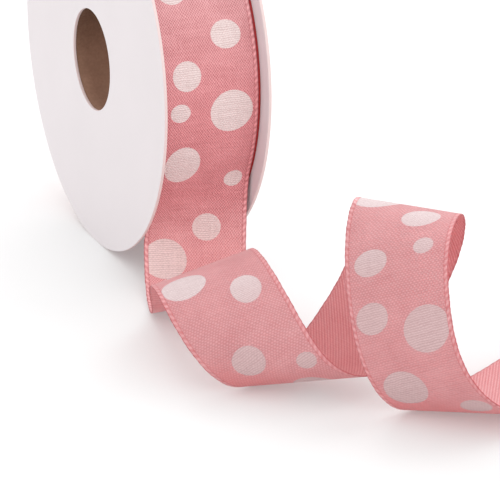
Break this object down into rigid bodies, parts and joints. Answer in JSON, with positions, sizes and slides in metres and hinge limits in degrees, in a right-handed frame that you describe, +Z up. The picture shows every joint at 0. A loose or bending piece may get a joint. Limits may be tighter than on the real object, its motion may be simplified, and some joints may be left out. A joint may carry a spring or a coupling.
{
  "type": "ribbon roll",
  "caption": "Roll of polka dot ribbon wound on a flat-flanged card spool that stands on edge, its loose end curled forward on the floor in two turns.",
  "frame": {"origin": "middle of the whole box's base, on the floor", "axes": "+Z up; +X along the spool's axis, from the left flange to the right flange; the loose end comes out towards -Y"},
  "size_m": [0.1054, 0.1958, 0.0972],
  "materials": {
    "ribbon": "woven polyester taffeta, dusty pink with pale printed dots, soft sheen",
    "flange_board": "white coated board, smooth, with a cream cut rim",
    "core_card": "brown wound card, matt"
  },
  "bodies": {
    "root": {"core_tube": "core_card", "flange_left": "flange_board", "flange_right": "flange_board", "ribbon_roll": "ribbon", "ribbon_tail": "ribbon"}
  },
  "joints": []
}
